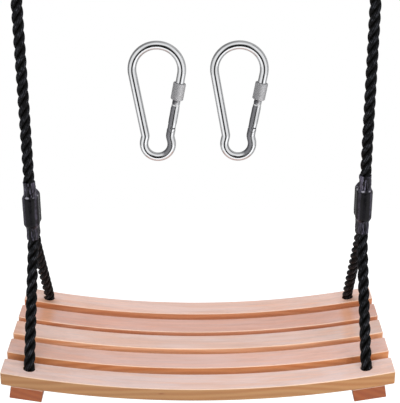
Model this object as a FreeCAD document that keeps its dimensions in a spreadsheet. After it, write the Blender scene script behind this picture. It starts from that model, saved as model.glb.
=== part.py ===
import FreeCAD, Part

import math
import os
import re

import Sketcher

# A slatted wooden swing seat on two ropes, with two screw-lock snap hooks that stand apart.
# X runs along the seat, -Y faces the front and +Z is up. The origin is on the axis through the
# two top eyes, about which the whole swing turns.

Vector, Rotation, Placement = FreeCAD.Vector, FreeCAD.Rotation, FreeCAD.Placement
doc = FreeCAD.newDocument("slatted_swing")
sheet = doc.addObject("Spreadsheet::Sheet", "Sizes")

# Driving dimensions, in millimetres and degrees
DIMENSIONS = {
    "seat_length": 440,  # along the curve of a slat's top face
    "seat_radius": 1090,  # of the top faces' hollow curve
    "slat_width": 32,
    "slat_gap": 12,
    "slat_thickness": 15.3,
    "slat_edge_radius": 0.8,
    "slat_shift_front_middle": 1.6,  # of a slat to the rear of even spacing
    "slat_shift_middle": 0.9,
    "slat_shift_rear_middle": -2.4,
    "batten_width": 36.2,
    "batten_thickness": 15.3,
    "batten_setback": 0.5,
    "batten_shift": 1.2,  # towards the seat's middle, from the line of the rope holes
    "batten_edge_radius": 1,
    "batten_seat_gap": 0.05,
    "hole_inset": 30.5,  # along the curve, from a slat's end in to a rope hole
    "rope_diameter": 12,
    "rope_hole_clearance": 0.9,
    "rope_seat_clearance": 0.05,
    "rope_pair_gap": 0.8,  # between the two ropes that share a ferrule
    "groove_roof": 6,  # of batten left above the rope's groove
    "foot_edge_radius": 6,  # of the batten's edge that the rope turns about
    "fork_drop": 11,  # from a lower ferrule's foot to the first corner of a leg
    "fork_step": 12,
    "bend_share": 0.45,  # of its shorter run that a free bend's arc takes on each side
    "hang_height": 523,  # from the eyes' axis down to the middle of the seat
    "ferrule_length": 34,
    "ferrule_wall": 2.4,
    "film_thickness": 0.6,
    "film_length": 70,
    "film_foot_left": 141,  # from the middle of the seat up to the lower films
    "film_foot_right": 147.5,
    "film_over_ferrule": 17,
    "film_taper": 8,
    "film_foot_spacing": 16,
    "film_mouth_spacing": 3,
    "tail_setback": 12,
    "eye_reach": 34,  # from the eyes' axis down to the upper films
    "thimble_bore_radius": 11,
    "thimble_wall": 1.9,
    "thimble_flange_height": 5,
    "thimble_width": 15.2,
    "thimble_rope_clearance": 0.1,
    "screw_diameter": 4,
    "screw_length": 24,
    "screw_head_diameter": 7.6,
    "screw_point": 4,
    "screw_sink": 0.2,
    "screw_offset": 11.8,
    "screw_stagger": 7,
    "screw_clearance": 0.03,
    "screw_drive_width": 2.4,
    "screw_drive_depth": 1.3,
    "hook_left_x": -42.8,
    "hook_right_x": 46.5,
    "hook_drop": 185.4,  # from the eyes' axis down to the centre of the wide bow
    "hook_wire": 9.5,
    "hook_big_radius": 27,
    "hook_small_radius": 15.4,
    "hook_small_below_pin": 19.3,
    "hook_small_shift": -0.55,
    "hook_neck_margin": 1.1,  # by which the neck's corners stand outside the small bow
    "hook_neck_bend": 8,
    "spine_angle": 10,
    "gate_angle": 10.7,
    "nose_length": 9.9,
    "gate_gap": 0.4,
    "gate_pivot_reach": 61.6,
    "gate_shoulder_reach": 29,
    "gate_thread_radius": 4.5,
    "gate_saddle_gap": 0.3,
    "saddle_drop": 2.4,
    "tang_thickness": 3.4,
    "tang_radius": 4.2,
    "tang_clearance": 0.15,
    "slot_roof_gap": 0.4,
    "pin_radius": 1.6,
    "pin_clearance": 0.04,
    "pin_sink": 0.15,
    "spring_length": 16,
    "spring_radius": 2.1,
    "spring_wire": 0.5,
    "spring_clearance": 0.1,
    "plunger_length": 6,
    "nut_radius": 7,
    "nut_length": 18.6,
    "nut_chamfer": 0.5,
    "nut_clearance": 0.06,
    "nut_nose_clearance": 0.25,
    "nut_nose_depth": 9,
    "overrun": 5,
}
for row, (alias, number) in enumerate(DIMENSIONS.items(), start=1):
    sheet.set(f"A{row}", alias)
    sheet.set(f"B{row}", str(number))
    sheet.setAlias(f"B{row}", alias)
doc.recompute()

SLATS = ["slat_front", "slat_front_middle", "slat_middle", "slat_rear_middle", "slat_rear"]
SIDES = {"left": -1, "right": 1}
LOOP_BENDS = 4  # corners of the rope's route round a thimble
FORK_BENDS = 3  # corners of the route where a leg leaves the fork


def linked(formula):
    """The formula with each dimension's name pointed at its cell in the sheet."""
    names = "|".join(sorted(DIMENSIONS, key=len, reverse=True))
    return re.sub(rf"\b({names})\b", r"Sizes.\1", formula)


def value(formula):
    """What a formula of the sheet's dimensions comes to."""
    found = sheet.evalExpression(linked(formula))
    return float(getattr(found, "Value", found))


def bind(item, **formulas):
    for prop, formula in formulas.items():
        item.setExpression(prop.replace("__", "."), linked(formula))
    return item


# Names for lengths that several pieces share, as formulas of the sheet's dimensions
ROPE_RADIUS = "rope_diameter / 2"
PAIR_SPACING = "(rope_diameter + rope_pair_gap)"
FERRULE_RADIUS = "(rope_diameter / 2 + ferrule_wall)"
FILM_RADIUS = "(rope_diameter / 2 + ferrule_wall + film_thickness)"
FILM_END_RADIUS = "(rope_diameter / 2 + film_thickness)"
SEAT_DEPTH = f"({len(SLATS)} * slat_width + {len(SLATS) - 1} * slat_gap)"
SLAT_PITCH = "(slat_width + slat_gap)"
WIRE_RADIUS = "(hook_wire / 2)"
HOLE_REACH = "(seat_length / 2 - hole_inset)"
PIN_DROP = "(hook_big_radius * sin(gate_angle * 1 deg) + gate_pivot_reach * cos(gate_angle * 1 deg))"
SMALL_DROP = f"({PIN_DROP} + hook_small_below_pin)"
GATE_TOP = "(gate_pivot_reach - nose_length - gate_gap)"
GATE_SHOULDER = "(gate_pivot_reach - gate_shoulder_reach - nose_length)"
LOOP_RADIUS = "(thimble_bore_radius + thimble_wall + thimble_rope_clearance + rope_diameter / 2)"


def feature(name, shape, placement=None):
    item = doc.addObject("Part::Feature", name)
    item.Shape = shape
    if placement:
        item.Placement = placement
    return item


def primitive(kind, name, placement=None, **formulas):
    item = bind(doc.addObject(f"Part::{kind}", name), **formulas)
    if placement:
        item.Placement = placement
    return item


def cut(name, base, tool):
    item = doc.addObject("Part::Cut", name)
    item.Base = base
    item.Tool = tool
    return item


def fuse(name, items):
    item = doc.addObject("Part::MultiFuse", name)
    item.Shapes = items
    return item


def group(name, items):
    item = doc.addObject("Part::Compound", name)
    item.Links = items
    return item


def box(name, low, size, placement=None):
    """A box between two corners that are formulas, carried by a placement of its own."""
    corner = Vector(*[value(part) for part in low])
    where = (placement or Placement()).multiply(Placement(corner, Rotation()))
    return primitive("Box", name, where, Length=size[0], Width=size[1], Height=size[2])


# Sketches and the features made from them
def new_body(name):
    item = doc.addObject("PartDesign::Body", name)
    item.Label = name
    return item


def sketch_on(body, role):
    face = next(plane for plane in body.Origin.OriginFeatures if plane.Role == role)
    sketch = body.newObject("Sketcher::SketchObject", body.Name + "_sketch")
    sketch.AttachmentSupport = (face, [""])
    sketch.MapMode = "FlatFace"
    return sketch


def tie(sketch, direction, geometry, point, formula):
    """Holds a point at a distance from the sketch's origin that follows the sheet."""
    size = value(formula)
    if not round(size, 6):
        axis = -2 if direction == "DistanceX" else -1
        sketch.addConstraint(Sketcher.Constraint("PointOnObject", geometry, point, axis))
        return
    ends = (-1, 1, geometry, point) if size > 0 else (geometry, point, -1, 1)
    row = sketch.addConstraint(Sketcher.Constraint(direction, *ends, abs(size)))
    sign = "" if size > 0 else "-1 * "
    sketch.setExpression(f"Constraints[{row}]", linked(f"{sign}({formula})"))


def outline(sketch, corners):
    """A closed outline of straight lines through corners given as pairs of formulas."""
    places = [Vector(value(x), value(y), 0) for x, y in corners]
    count = len(places)
    for i in range(count):
        sketch.addGeometry(Part.LineSegment(places[i], places[(i + 1) % count]), False)
    for i in range(count):
        sketch.addConstraint(Sketcher.Constraint("Coincident", i, 2, (i + 1) % count, 1))
    for i, (x, y) in enumerate(corners):
        tie(sketch, "DistanceX", i, 1, x)
        tie(sketch, "DistanceY", i, 1, y)


def turned(name, corners):
    """A body turned about Z from corners given as pairs of radius and height."""
    body = new_body(name)
    sketch = sketch_on(body, "XZ_Plane")
    outline(sketch, corners)
    turn = body.newObject("PartDesign::Revolution", name + "_turn")
    turn.Profile = sketch
    turn.ReferenceAxis = (sketch, ["V_Axis"])
    turn.Angle = 360
    return body


def pad_with_rounds(body, sketch, length, radius):
    pad = bind(body.newObject("PartDesign::Pad", body.Name + "_pad"), Length=length)
    pad.Profile = sketch
    pad.Type = "Length"
    doc.recompute()
    rounds = body.newObject("PartDesign::Fillet", body.Name + "_rounds")
    rounds.Base = (pad, [""])
    rounds.UseAllEdges = True
    bind(rounds, Radius=radius)
    return body


# Paths of straight runs joined by tangent arcs
def rounded_path(points, bends):
    """A wire through the points, with an arc of the given radius at each inner one."""
    edges = []
    here = points[0]
    for before, corner, after, bend in zip(points[:-2], points[1:-1], points[2:], bends, strict=True):
        back = (before - corner).normalize()
        ahead = (after - corner).normalize()
        half = back.getAngle(ahead) / 2
        reach = bend / math.tan(half)
        inward = (back + ahead).normalize()
        middle = corner + inward * (bend / math.sin(half) - bend)
        first, last = corner + back * reach, corner + ahead * reach
        if here.distanceToPoint(first) > 1e-4:
            edges.append(Part.LineSegment(here, first).toShape())
            here = first
        edges.append(Part.Arc(here, middle, last).toShape())
        here = last
    edges.append(Part.LineSegment(here, points[-1]).toShape())
    return Part.Wire(edges)


def pipe(path, radius):
    """A round bar along a path, from its first point to its last."""
    start = path.Edges[0]
    direction = start.tangentAt(start.FirstParameter)
    ring = Part.Wire([Part.Circle(start.Vertexes[0].Point, direction, radius).toShape()])
    return path.makePipeShell([ring], True, False)


# Places on the seat
def seat_frame(side, reach, depth):
    """The frame square to the seat at a distance along the curve, that far under the top face."""
    turn = side * reach / value("seat_radius")
    radius = value("seat_radius") + depth
    rise = value("seat_radius - hang_height") - radius * math.cos(turn)
    place = Vector(radius * math.sin(turn), 0, rise)
    return Placement(place, Rotation(Vector(0, 1, 0), -math.degrees(turn)))


def slat_middle(index):
    shift = SLATS[index].replace("slat", "slat_shift")
    even = (index - (len(SLATS) - 1) / 2) * value(SLAT_PITCH)
    return even + (value(shift) if shift in DIMENSIONS else 0)


# Ropes
def rope_route(side_name):
    """The rope's route from its tail at the top eye, round the thimble and under the seat.

    It comes in three stretches: above the seat, through it, and the rear leg's end in the lower
    ferrule. A corner is a place and its bend's radius, or None for as large as its runs allow.
    """
    side, film_foot = SIDES[side_name], f"film_foot_{side_name}"
    fork_top = f"{film_foot} + film_over_ferrule - fork_drop"
    near = value(PAIR_SPACING) / 2
    loop = value(LOOP_RADIUS)
    throat = value("eye_reach")
    top_tail = -throat - value("film_length - tail_setback")
    bottom_tail = value(f"{film_foot} + film_length - tail_setback - hang_height")
    lean = math.asin(loop / math.hypot(near, throat)) - math.atan(near / throat)
    step = (math.pi + 2 * lean) / LOOP_BENDS
    mouth = seat_frame(side, value(HOLE_REACH), 0)
    foot_depth = value("slat_thickness + groove_roof") + value(ROPE_RADIUS)
    foot = seat_frame(side, value(HOLE_REACH), foot_depth)
    foot_bend = value("foot_edge_radius") + value(ROPE_RADIUS)
    x = mouth.Base.x
    reach = Vector(0, abs(slat_middle(0)), 0)

    leg = Vector(x, -near, value(f"{fork_top} - hang_height"))
    legs = [leg]
    turn = math.atan((reach.y - near) / (leg.z - mouth.Base.z)) / FORK_BENDS
    for i in range(1, FORK_BENDS):
        down = Vector(0, -math.sin(i * turn), -math.cos(i * turn))
        legs.append(legs[-1] + down * value("fork_step"))
    front_leg = [(place, None) for place in legs]
    rear_leg = [(Vector(x, -place.y, place.z), None) for place in reversed(legs)]

    above = [(Vector(x, near, top_tail), None), (Vector(x, near, -throat), None)]
    for i in range(LOOP_BENDS):
        bearing = step * (i + 0.5) - lean
        out = loop / math.cos(step / 2)
        above.append((Vector(x, out * math.cos(bearing), out * math.sin(bearing)), loop))
    above += [(Vector(x, -near, -throat), None), *front_leg[:-1]]
    through = [
        front_leg[-1],
        (mouth.Base - reach, None),
        (foot.Base - reach, foot_bend),
        (foot.Base + reach, foot_bend),
        (mouth.Base + reach, None),
        rear_leg[0],
    ]
    return above, through, [*rear_leg[1:], (Vector(x, near, bottom_tail), None)]


def bend_radii(corners):
    """The radii of the bends at the inner corners of a route."""
    radii = []
    for (before, _), (corner, bend), (after, _) in zip(corners[:-2], corners[1:-1], corners[2:]):
        if bend is None:
            back, ahead = before - corner, after - corner
            half_turn = (math.pi - back.getAngle(ahead)) / 2
            bend = value("bend_share") * min(back.Length, ahead.Length) / math.tan(half_turn)
        radii.append(bend)
    return radii


def route_path(corners):
    return rounded_path([place for place, _ in corners], bend_radii(corners))


channels = {}
rope_rooms = {}
for side_name in SIDES:
    above, through, tail = rope_route(side_name)
    corners = above + through + tail
    route = route_path(corners)
    rope = feature(f"rope_{side_name}", pipe(route, value(ROPE_RADIUS)))
    share = rope.Shape.Volume / (route.Length * math.pi * value(ROPE_RADIUS) ** 2)
    print(f"rope_{side_name}: {route.Length:.1f} long, volume share {share:.4f}")
    print("  bend radii", [round(bend, 1) for bend in bend_radii(corners)])
    print("  corners", [tuple(round(part, 2) for part in place) for place, _ in corners])
    room_radius = value(ROPE_RADIUS) + value("rope_hole_clearance")
    channels[side_name] = feature(f"channel_{side_name}", pipe(route_path(through), room_radius))
    seat_radius = value(ROPE_RADIUS) + value("rope_seat_clearance")
    rope_rooms[side_name] = feature(f"rope_room_{side_name}", pipe(route, seat_radius))


# Screws that hold the slats, driven up through the battens
def screw_corners(clearance):
    """A countersunk screw's outline, radius and height, upwards from its head."""
    shank = f"(screw_diameter / 2 + {clearance})"
    head = f"(screw_head_diameter / 2 + {clearance})"
    cone = "(screw_head_diameter - screw_diameter) / 2"
    return [
        ("0", "0"),
        (head, "0"),
        (shank, cone),
        (shank, f"screw_length - screw_point + {clearance}"),
        ("0", f"screw_length + {clearance}"),
    ]


screw_blank = turned("screw_blank", screw_corners("0"))
screw_space = turned("screw_space", screw_corners("screw_clearance"))
drive_low = ("-screw_drive_width / 2", "-screw_drive_width / 2", "0 - overrun")
drive_size = ("screw_drive_width", "screw_drive_width", "screw_drive_depth + overrun")
screw_one = cut("screw_one", screw_blank, box("screw_drive", drive_low, drive_size))
doc.recompute()


def screw_places(side):
    under = seat_frame(side, value(HOLE_REACH), value("slat_thickness"))
    head = value("screw_sink - batten_thickness - batten_seat_gap")
    places = []
    for index in range(len(SLATS)):
        for hand in (-1, 1):
            offset = hand * value("screw_offset")
            along = slat_middle(index) + hand * value("screw_stagger")
            places.append(under.multiply(Placement(Vector(offset, along, head), Rotation())))
    return places


def placed_copies(name, shape, places):
    copies = []
    for place in places:
        copy = shape.copy()
        copy.Placement = place
        copies.append(copy)
    return feature(name, Part.makeCompound(copies))


screw_rooms = {}
for side_name, side in SIDES.items():
    places = screw_places(side)
    placed_copies(f"batten_screws_{side_name}", screw_one.Shape, places)
    screw_rooms[side_name] = placed_copies(f"screw_room_{side_name}", screw_space.Shape, places)
all_screw_rooms = group("all_screw_rooms", list(screw_rooms.values()))
all_channels = group("all_channels", list(channels.values()))


# Slats
def slat_blank(name):
    """A bent slat: the hollow top face, the parallel bottom face and upright sawn ends."""
    body = new_body(name)
    sketch = sketch_on(body, "XZ_Plane")
    radii = ["seat_radius", "(seat_radius + slat_thickness)"]
    reach = "seat_radius * sin(seat_length / seat_radius / 2 * 180 / pi * 1 deg)"
    centre = Vector(0, value("seat_radius"), 0)
    below = -math.pi / 2
    heights = []
    for radius in radii:
        half = math.asin(value(reach) / value(radius))
        heights.append(centre.y - value(radius) * math.cos(half))
        circle = Part.Circle(centre, Vector(0, 0, 1), value(radius))
        sketch.addGeometry(Part.ArcOfCircle(circle, below - half, below + half), False)
    for hand in (-1, 1):
        ends = [Vector(hand * value(reach), height, 0) for height in heights]
        sketch.addGeometry(Part.LineSegment(*ends), False)
    for line, end in ((2, 1), (3, 2)):
        sketch.addConstraint(Sketcher.Constraint("Coincident", line, 1, 0, end))
        sketch.addConstraint(Sketcher.Constraint("Coincident", line, 2, 1, end))
    sketch.addConstraint(Sketcher.Constraint("Coincident", 1, 3, 0, 3))
    tie(sketch, "DistanceX", 0, 3, "0")
    tie(sketch, "DistanceY", 0, 3, "seat_radius")
    for arc, radius in enumerate(radii):
        row = sketch.addConstraint(Sketcher.Constraint("Radius", arc, value(radius)))
        sketch.setExpression(f"Constraints[{row}]", linked(radius))
        tie(sketch, "DistanceX", arc, 1, f"-1 * {reach}")
        tie(sketch, "DistanceX", arc, 2, reach)
    return pad_with_rounds(body, sketch, "slat_width", "slat_edge_radius")


for index, name in enumerate(SLATS):
    blank = slat_blank(name + "_blank")
    back_edge = slat_middle(index) + value("slat_width") / 2
    blank.Placement = Placement(Vector(0, back_edge, -value("hang_height")), Rotation())
    drilled = blank
    if index in (0, len(SLATS) - 1):
        drilled = cut(name + "_bored", blank, all_channels)
    cut(name, drilled, all_screw_rooms)

# Battens
for side_name, side in SIDES.items():
    name = f"batten_{side_name}"
    body = new_body(name + "_blank")
    sketch = sketch_on(body, "XY_Plane")
    wide, long = "batten_width / 2", f"({SEAT_DEPTH} / 2 - batten_setback)"
    less_wide, less_long = f"-1 * {wide}", f"-1 * {long}"
    outline(sketch, [(less_wide, less_long), (wide, less_long), (wide, long), (less_wide, long)])
    pad_with_rounds(body, sketch, "batten_thickness", "batten_edge_radius")
    low = Vector(-side * value("batten_shift"), 0, -value("batten_thickness + batten_seat_gap"))
    under = seat_frame(side, value(HOLE_REACH), value("slat_thickness"))
    body.Placement = under.multiply(Placement(low, Rotation()))
    grooved = cut(name + "_grooved", body, channels[side_name])
    cut(name, grooved, screw_rooms[side_name])


# Ferrules and shrunk films
def stadium(name, radius, length, placement):
    """A bar whose section is the outline round two ropes that lie side by side."""
    pieces = []
    for hand in (-1, 1):
        offset = Placement(Vector(0, hand * value(PAIR_SPACING) / 2, 0), Rotation())
        where = placement.multiply(offset)
        round_name = f"{name}_round_{hand + 1}"
        pieces.append(primitive("Cylinder", round_name, where, Radius=radius, Height=length))
    low = (f"-1 * {radius}", f"-1 * {PAIR_SPACING} / 2", "0")
    size = (f"2 * {radius}", PAIR_SPACING, length)
    pieces.append(box(name + "_web", low, size, placement))
    return fuse(name, pieces)


def stadium_wire(radius, spacing, shift, z):
    near, far = shift - spacing / 2, shift + spacing / 2
    a, b = Vector(radius, near, z), Vector(radius, far, z)
    c, d = Vector(-radius, far, z), Vector(-radius, near, z)
    edges = [
        Part.LineSegment(a, b).toShape(),
        Part.Arc(b, Vector(0, far + radius, z), c).toShape(),
        Part.LineSegment(c, d).toShape(),
        Part.Arc(d, Vector(0, near - radius, z), a).toShape(),
    ]
    return Part.Wire(edges)


def film_blank():
    """The shrunk film's outer form, upwards from its foot, where the two ropes lie together."""
    thin, thick = value(FILM_END_RADIUS), value(FILM_RADIUS)
    spacing, mouth = value(PAIR_SPACING), value("film_mouth_spacing")
    swell = value("film_over_ferrule") - value("film_taper")
    settle = value("film_over_ferrule + ferrule_length")
    foot = value("film_foot_spacing")
    heights = [0, swell, value("film_over_ferrule"), settle, settle + value("film_taper")]
    radii = [thin, thin, thick, thick, thin]
    spacings = [foot, (foot + spacing) / 2, spacing, spacing, spacing]
    wires = [stadium_wire(radius, apart, 0, z) for radius, apart, z in zip(radii, spacings, heights)]
    shift = (mouth - spacing) / 2
    wires.append(stadium_wire(thin, mouth, shift, value("film_length")))
    return Part.makeLoft(wires, True, True)


# The lower film stands upright, and the upper one is turned over so that its mouth is at its foot
for side_name, side in SIDES.items():
    x = seat_frame(side, value(HOLE_REACH), 0).Base.x
    upright = Placement(Vector(x, 0, value(f"film_foot_{side_name} - hang_height")), Rotation())
    turned_over = Placement(Vector(x, 0, -value("eye_reach")), Rotation(Vector(0, 1, 0), 180))
    for level, place in (("lower", upright), ("upper", turned_over)):
        name = f"{level}_ferrule_{side_name}"
        where = place.multiply(Placement(Vector(0, 0, value("film_over_ferrule")), Rotation()))
        outer = stadium(name + "_outer", FERRULE_RADIUS, "ferrule_length", where)
        hollow_low = where.multiply(Placement(Vector(0, 0, -value("overrun")), Rotation()))
        hollow_radius = f"({ROPE_RADIUS} + rope_seat_clearance)"
        hollow = stadium(name + "_hollow", hollow_radius, "ferrule_length + 2 * overrun", hollow_low)
        cut(name, outer, hollow)
        seat_outer = f"({FERRULE_RADIUS} + rope_seat_clearance)"
        seat = stadium(name + "_seat", seat_outer, "ferrule_length", where)
        film = feature(f"{level}_film_{side_name}_outer", film_blank(), place)
        clear = cut(f"{level}_film_{side_name}_clear", film, seat)
        cut(f"{level}_film_{side_name}", clear, rope_rooms[side_name])

# Thimbles, on the swing's axis
for side_name, side in SIDES.items():
    x = seat_frame(side, value(HOLE_REACH), 0).Base.x
    name = f"thimble_{side_name}"
    sideways = Rotation(Vector(0, 1, 0), 90)
    start = Placement(Vector(x - value("thimble_width") / 2, 0, 0), sideways)
    flange_radius = "thimble_bore_radius + thimble_wall + thimble_flange_height"
    blank = primitive("Cylinder", name + "_blank", start, Radius=flange_radius, Height="thimble_width")
    bore_start = Placement(Vector(x - value("thimble_width / 2 + overrun"), 0, 0), sideways)
    bore_length = "thimble_width + 2 * overrun"
    bore = primitive("Cylinder", name + "_bore", bore_start, Radius="thimble_bore_radius", Height=bore_length)
    groove_radius = f"{ROPE_RADIUS} + thimble_rope_clearance"
    middle = Placement(Vector(x, 0, 0), sideways)
    groove = primitive("Torus", name + "_groove", middle, Radius1=LOOP_RADIUS, Radius2=groove_radius)
    cut(name, cut(name + "_bored", blank, bore), groove)


# Snap hooks
def hook_path():
    """The wire's centre line, from the nose over the wide bow and down to the gate's hinge."""
    big, small = value("hook_big_radius"), value("hook_small_radius")
    gate, spine = math.radians(value("gate_angle")), math.radians(value("spine_angle"))
    down_gate = Vector(-math.sin(gate), 0, -math.cos(gate))
    down_spine = Vector(math.sin(spine), 0, -math.cos(spine))
    nose_root = Vector(big * math.cos(gate), 0, -big * math.sin(gate))
    spine_root = Vector(-big * math.cos(spine), 0, -big * math.sin(spine))
    top = Vector(0, 0, big)

    def level(root, along, height):
        return root + along * ((height - root.z) / along.z)

    small_centre = Vector(value("hook_small_shift"), 0, -value(SMALL_DROP))

    def neck(root, along):
        """Where a straight side meets the circle of the neck's corners."""
        offset = root - small_centre
        nearing = -offset.dot(along)
        beside = offset.dot(offset) - nearing ** 2
        return root + along * (nearing - math.sqrt((small + value("hook_neck_margin")) ** 2 - beside))

    neck_left, neck_right = neck(spine_root, down_spine), neck(nose_root, down_gate)
    corners = []
    for hand, neck_point in ((-1, neck_left), (1, neck_right)):
        offset = neck_point - small_centre
        bearing = math.atan2(offset.z, abs(offset.x))
        touch = bearing - math.acos(small / offset.Length)
        normal = Vector(hand * math.cos(touch), 0, math.sin(touch))
        along = Vector(-hand * math.sin(touch), 0, math.cos(touch))
        corners.append(level(small_centre + normal * small, along, small_centre.z - small))
    end = nose_root + down_gate * (value("gate_pivot_reach + saddle_drop"))
    points = [
        nose_root + down_gate * value("nose_length"),
        level(nose_root, down_gate, top.z),
        level(spine_root, down_spine, top.z),
        neck_left,
        corners[0],
        corners[1],
        neck_right,
        end,
    ]
    bend = value("hook_neck_bend")
    return rounded_path(points, [big, big, bend, small, small, bend])


def gate_frame(hook_x):
    """The gate's frame: its origin on the hinge pin, Z up along the gate and Y along the pin."""
    big, gate = value("hook_big_radius"), math.radians(value("gate_angle"))
    reach = value("gate_pivot_reach")
    x = big * math.cos(gate) - reach * math.sin(gate)
    z = -big * math.sin(gate) - reach * math.cos(gate)
    place = Vector(hook_x + x, 0, z - value("hook_drop"))
    return Placement(place, Rotation(Vector(0, 1, 0), math.degrees(gate)))


def across(name, frame, radius, length):
    """A cylinder about the hinge pin's axis, centred on the hook's plane."""
    turn = Placement(Vector(0, -value(length) / 2, 0), Rotation(Vector(1, 0, 0), -90))
    return primitive("Cylinder", name, frame.multiply(turn), Radius=radius, Height=length)


for side_name in SIDES:
    hook_x = value(f"hook_{side_name}_x")
    centre = Placement(Vector(hook_x, 0, -value("hook_drop")), Rotation())
    frame = gate_frame(hook_x)
    deep = "(hook_wire + 2 * overrun)"
    tag = f"hook_{side_name}"

    # Body: bent wire, hollowed under the gate's rounded foot, with a flat tang for the pin
    bar = feature(f"{tag}_bar", pipe(hook_path(), value(WIRE_RADIUS)), centre)
    saddle = across(f"{tag}_saddle", frame, f"({WIRE_RADIUS} + gate_saddle_gap)", deep)
    tang_low = ("-1 * tang_radius", "-1 * tang_thickness / 2", "-1 * (tang_radius + hook_wire / 2)")
    tang_size = ("2 * tang_radius", "tang_thickness", "tang_radius + hook_wire / 2")
    tang = box(f"{tag}_tang", tang_low, tang_size, frame)
    tang_round = across(f"{tag}_tang_round", frame, "tang_radius", "tang_thickness")
    rough = fuse(f"{tag}_rough", [cut(f"{tag}_hollowed", bar, saddle), tang, tang_round])
    pin_hole = across(f"{tag}_pin_hole", frame, "pin_radius + pin_clearance / 2", deep)
    cut(f"hook_body_{side_name}", rough, pin_hole)

    # Gate: a stepped bar with a round foot, forked over the tang and bored for its spring
    foot = ("-1 * hook_wire", "-1 * hook_wire", "0")
    upper_size = ("2 * hook_wire", "2 * hook_wire", "gate_pivot_reach")
    upper = box(f"{tag}_gate_upper", foot, upper_size, frame)
    room = fuse(f"{tag}_gate_room", [upper, across(f"{tag}_gate_foot", frame, WIRE_RADIUS, deep)])
    low = frame.multiply(Placement(Vector(0, 0, -value(WIRE_RADIUS)), Rotation()))
    bar_height = f"{GATE_SHOULDER} + {WIRE_RADIUS}"
    thick = primitive("Cylinder", f"{tag}_gate_bar", low, Radius=WIRE_RADIUS, Height=bar_height)
    thread = primitive("Cylinder", f"{tag}_gate_thread", frame, Radius="gate_thread_radius", Height=GATE_TOP)
    stepped = fuse(f"{tag}_gate_stepped", [thick, thread])
    rounded = doc.addObject("Part::MultiCommon", f"{tag}_gate_rounded")
    rounded.Shapes = [stepped, room]
    slot_half = "(tang_thickness / 2 + tang_clearance)"
    slot_low = ("-1 * hook_wire", f"-1 * {slot_half}", "-1 * hook_wire")
    slot_size = ("2 * hook_wire", f"2 * {slot_half}", "hook_wire + tang_radius + slot_roof_gap")
    slot = box(f"{tag}_gate_slot", slot_low, slot_size, frame)
    gate_pin_hole = across(f"{tag}_gate_pin_hole", frame, "pin_radius + pin_clearance", deep)
    spring_bore = bind(
        primitive("Cylinder", f"{tag}_gate_bore", frame),
        Radius="spring_radius + spring_clearance",
        Height="tang_radius + tang_clearance + plunger_length + spring_length + spring_clearance",
    )
    hollows = fuse(f"{tag}_gate_hollows", [slot, gate_pin_hole, spring_bore])
    cut(f"hook_gate_{side_name}", rounded, hollows)

    # Pin, plunger and spring
    pin_length = "hook_wire - 2 * pin_sink"
    across(f"gate_pin_{side_name}", frame, "pin_radius", pin_length)
    plunger_foot = frame.multiply(Placement(Vector(0, 0, value("tang_radius + tang_clearance")), Rotation()))
    plunger = primitive("Cylinder", f"gate_plunger_{side_name}", plunger_foot)
    bind(plunger, Radius="spring_radius", Height="plunger_length")
    spring_foot = plunger_foot.multiply(Placement(Vector(0, 0, value("plunger_length")), Rotation()))
    coil = primitive("Cylinder", f"{tag}_coil", spring_foot, Radius="spring_radius", Height="spring_length")
    inner = primitive("Cylinder", f"{tag}_coil_inner", spring_foot)
    bind(inner, Radius="spring_radius - spring_wire", Height="spring_length")
    cut(f"gate_spring_{side_name}", coil, inner)

    # Lock nut: threaded on the gate below, and wide enough above to pass over the nose
    thread_bore = "(gate_thread_radius + nut_clearance)"
    nose_bore = f"({WIRE_RADIUS} + nut_nose_clearance)"
    nut = turned(
        f"lock_nut_{side_name}",
        [
            (thread_bore, "0"),
            ("nut_radius - nut_chamfer", "0"),
            ("nut_radius", "nut_chamfer"),
            ("nut_radius", "nut_length - nut_chamfer"),
            ("nut_radius - nut_chamfer", "nut_length"),
            (nose_bore, "nut_length"),
            (nose_bore, "nut_length - nut_nose_depth"),
            (thread_bore, "nut_length - nut_nose_depth"),
        ],
    )
    nut.Placement = frame.multiply(Placement(Vector(0, 0, value(GATE_TOP) - value("nut_length")), Rotation()))

NODES = SLATS + [
    f"{stem}_{side_name}"
    for stem in (
        "batten", "batten_screws", "rope", "lower_ferrule", "lower_film", "upper_ferrule", "upper_film",
        "thimble", "hook_body", "hook_gate", "gate_pin", "gate_plunger", "gate_spring", "lock_nut",
    )
    for side_name in SIDES
]

doc.recompute()
failed = [item.Name for item in doc.Objects if {"Invalid", "Error"} & set(item.State)]
if failed:
    raise RuntimeError(f"these objects failed: {failed}")

for side_name in SIDES:
    frame = gate_frame(value(f"hook_{side_name}_x"))
    print(f"gate pin {side_name}", [round(part, 3) for part in frame.Base])
    print("  gate direction", [round(part, 5) for part in frame.Rotation.multVec(Vector(0, 0, 1))])

os.makedirs("parts", exist_ok=True)
for name in NODES:
    item = doc.getObject(name)
    item.Label = name
    shape = item.Shape
    if shape.isNull() or not shape.isValid() or not shape.Solids:
        raise RuntimeError(f"{name} has no sound solid")
    shape.exportStep(f"parts/{name}.step")
    print(f"{name}: {len(shape.Solids)} solids, {shape.Volume:.0f} mm3")
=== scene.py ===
"""A slatted swing seat on two forked ropes with its two snap hooks, and the studio round them.

Everything is in metres in the frame of the CAD model: the origin is on the axis through the two
top eyes, X runs along the seat, -Y faces the front and +Z is up.
"""

import math

import bmesh
import bpy
import numpy as np
from mathutils import Matrix, Vector, noise


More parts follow.
